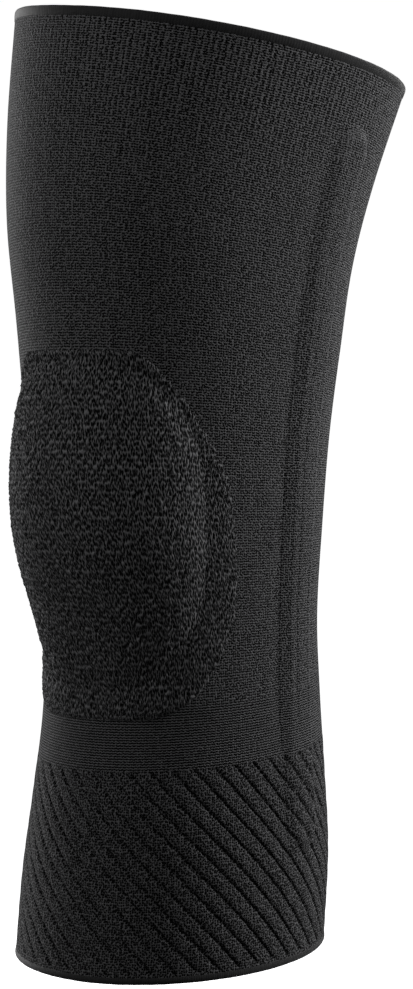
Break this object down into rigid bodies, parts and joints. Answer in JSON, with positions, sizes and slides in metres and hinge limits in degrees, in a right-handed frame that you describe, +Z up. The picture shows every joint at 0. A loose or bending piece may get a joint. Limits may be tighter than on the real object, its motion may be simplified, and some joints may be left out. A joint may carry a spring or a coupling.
{
  "type": "knee sleeve",
  "caption": "Knitted tube sleeve for a slightly bent knee, with a looped panel over a kneecap cushion, a flat stay tunnel up each side and a calf cuff of slanted ribs.",
  "frame": {"origin": "middle of the leg inside the open tube, level with the middle of the kneecap", "axes": "+Z up the leg towards the thigh edge, -Y out through the kneecap, +X towards the wearer's outer side"},
  "size_m": [0.1346, 0.1516, 0.3388],
  "materials": {
    "plain_knit": "matte black stretch knit",
    "looped_knit": "matte black looped knit",
    "folded_hem": "smooth black folded knit",
    "cushion_foam": "matte soft cushion"
  },
  "bodies": {
    "root": {"thigh_hem": "folded_hem", "knit_body": "plain_knit", "rib_cuff": "plain_knit", "calf_hem": "folded_hem", "kneecap_pad": "cushion_foam", "kneecap_panel": "looped_knit", "outer_stay_tunnel": "plain_knit", "inner_stay_tunnel": "plain_knit"}
  },
  "joints": []
}
